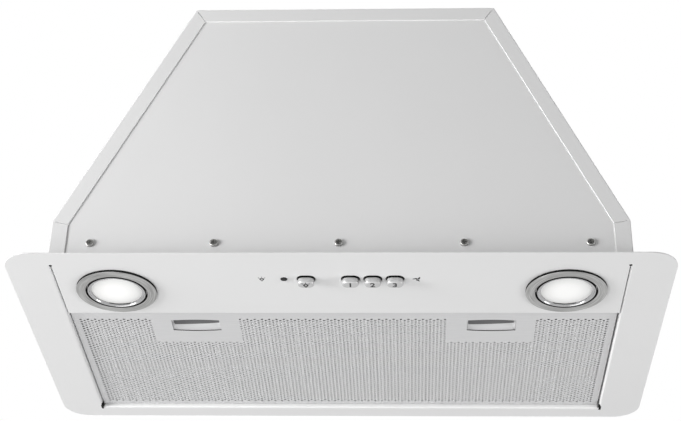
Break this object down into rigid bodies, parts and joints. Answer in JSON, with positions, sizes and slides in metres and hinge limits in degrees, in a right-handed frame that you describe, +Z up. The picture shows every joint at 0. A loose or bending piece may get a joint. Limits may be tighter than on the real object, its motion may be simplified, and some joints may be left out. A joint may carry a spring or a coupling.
{
  "type": "built-in range hood",
  "caption": "Built-in white range hood insert with a tapered sheet-metal housing, flange plate, round lamps, push buttons and a drop-down perforated grease filter.",
  "frame": {"origin": "centre of the cabinet cut-out, on the flange plate's upper face, which seats against the cabinet's underside", "axes": "+Z up as installed, the control strip and the user are towards -Y, +X is the user's right"},
  "size_m": [0.52, 0.288, 0.2966],
  "materials": {
    "white_paint": "satin white powder coat",
    "filter_lacquer": "silver-grey satin lacquer",
    "zinc_sheet": "zinc-coated sheet",
    "screw_nickel": "nickel plated",
    "spring_steel": "bright spring wire",
    "fan_plastic": "black moulded",
    "scroll_plastic": "dark grey moulded",
    "motor_can": "dark motor enamel",
    "steel_bar": "turned",
    "bush_rubber": "soft black rubber",
    "lead_sheath": "pale grey sheath",
    "white_plastic": "white moulded",
    "button_plastic": "satin light grey",
    "indicator_tint": "dark tinted lens",
    "lamp_steel": "brushed nickel",
    "lamp_chrome": "polished",
    "lamp_frost": "frosted white",
    "can_aluminium": "pressed",
    "board_white": "white circuit board",
    "mesh_aluminium": "expanded mesh"
  },
  "bodies": {
    "housing": {"base_panel": "white_paint", "housing_wrap": "white_paint", "front_panel": "white_paint", "back_panel": "white_paint", "front_rail": "zinc_sheet", "switch_bracket": "zinc_sheet", "motor_bracket": "zinc_sheet", "capacitor_clip": "zinc_sheet", "housing_screws": "screw_nickel", "collar_screws": "screw_nickel", "volute_screws": "screw_nickel", "motor_screws": "screw_nickel", "switch_nuts": "screw_nickel", "spring_light": "spring_steel", "spring_1": "spring_steel", "spring_2": "spring_steel", "spring_3": "spring_steel", "lamp_clips": "spring_steel", "damper_pin": "spring_steel", "inlet_guard": "spring_steel", "duct_collar": "fan_plastic", "switch_block": "fan_plastic", "volute_left": "scroll_plastic", "volute_right": "scroll_plastic", "motor_body": "motor_can", "motor_bushes": "bush_rubber", "cable_grommet": "bush_rubber", "lead_motor": "lead_sheath", "lead_lamp_left": "lead_sheath", "lead_lamp_right": "lead_sheath", "lead_switch": "lead_sheath", "terminal_box": "white_plastic", "terminal_lid": "white_plastic", "capacitor": "white_plastic", "lead_clips": "white_plastic", "indicator_lens": "indicator_tint", "lamp_bezel_left": "lamp_steel", "lamp_bezel_right": "lamp_steel", "lamp_rings": "lamp_chrome", "lamp_glass_left": "lamp_frost", "lamp_glass_right": "lamp_frost", "lamp_cups": "can_aluminium", "lamp_boards": "board_white"},
    "rotor": {"impeller": "fan_plastic", "motor_shaft": "steel_bar"},
    "flap_left": {"damper_flap_left": "fan_plastic"},
    "flap_right": {"damper_flap_right": "fan_plastic"},
    "filter": {"filter_tray": "filter_lacquer", "filter_pins": "screw_nickel", "filter_mesh": "mesh_aluminium", "filter_grid": "mesh_aluminium", "latch_covers": "zinc_sheet", "latch_spring_left": "spring_steel", "latch_spring_right": "spring_steel"},
    "latch_left": {"latch_left": "filter_lacquer"},
    "latch_right": {"latch_right": "filter_lacquer"},
    "button_light": {"button_light": "button_plastic"},
    "button_1": {"button_1": "button_plastic"},
    "button_2": {"button_2": "button_plastic"},
    "button_3": {"button_3": "button_plastic"}
  },
  "joints": [
    {"name": "impeller_spin", "type": "hinge", "parent": "housing", "child": "rotor", "pos_m": [0, -0.049, 0.12], "axis": [1, 0, 0], "continuous": true},
    {"name": "flap_left_swing", "type": "hinge", "parent": "housing", "child": "flap_left", "pos_m": [0, 0, 0.26], "axis": [0, 1, 0], "range_deg": [0, 75]},
    {"name": "flap_right_swing", "type": "hinge", "parent": "housing", "child": "flap_right", "pos_m": [0, 0, 0.26], "axis": [0, -1, 0], "range_deg": [0, 75]},
    {"name": "filter_drop", "type": "hinge", "parent": "housing", "child": "filter", "pos_m": [0, 0.1195, 0.006], "axis": [1, 0, 0], "range_deg": [0, 90]},
    {"name": "latch_left_slide", "type": "slide", "parent": "filter", "child": "latch_left", "axis": [0, 1, 0], "range_m": [0, 0.005], "stiffness_N_per_m": 400, "springref_m": -0.004, "deforming": ["latch_spring_left"]},
    {"name": "latch_right_slide", "type": "slide", "parent": "filter", "child": "latch_right", "axis": [0, 1, 0], "range_m": [0, 0.005], "stiffness_N_per_m": 400, "springref_m": -0.004, "deforming": ["latch_spring_right"]},
    {"name": "button_light_press", "type": "slide", "parent": "housing", "child": "button_light", "axis": [0, 0, 1], "range_m": [0, 0.0035], "stiffness_N_per_m": 350, "springref_m": -0.003, "deforming": ["spring_light"]},
    {"name": "button_1_press", "type": "slide", "parent": "housing", "child": "button_1", "axis": [0, 0, 1], "range_m": [0, 0.0035], "stiffness_N_per_m": 350, "springref_m": -0.003, "deforming": ["spring_1"]},
    {"name": "button_2_press", "type": "slide", "parent": "housing", "child": "button_2", "axis": [0, 0, 1], "range_m": [0, 0.0035], "stiffness_N_per_m": 350, "springref_m": -0.003, "deforming": ["spring_2"]},
    {"name": "button_3_press", "type": "slide", "parent": "housing", "child": "button_3", "axis": [0, 0, 1], "range_m": [0, 0.0035], "stiffness_N_per_m": 350, "springref_m": -0.003, "deforming": ["spring_3"]}
  ]
}
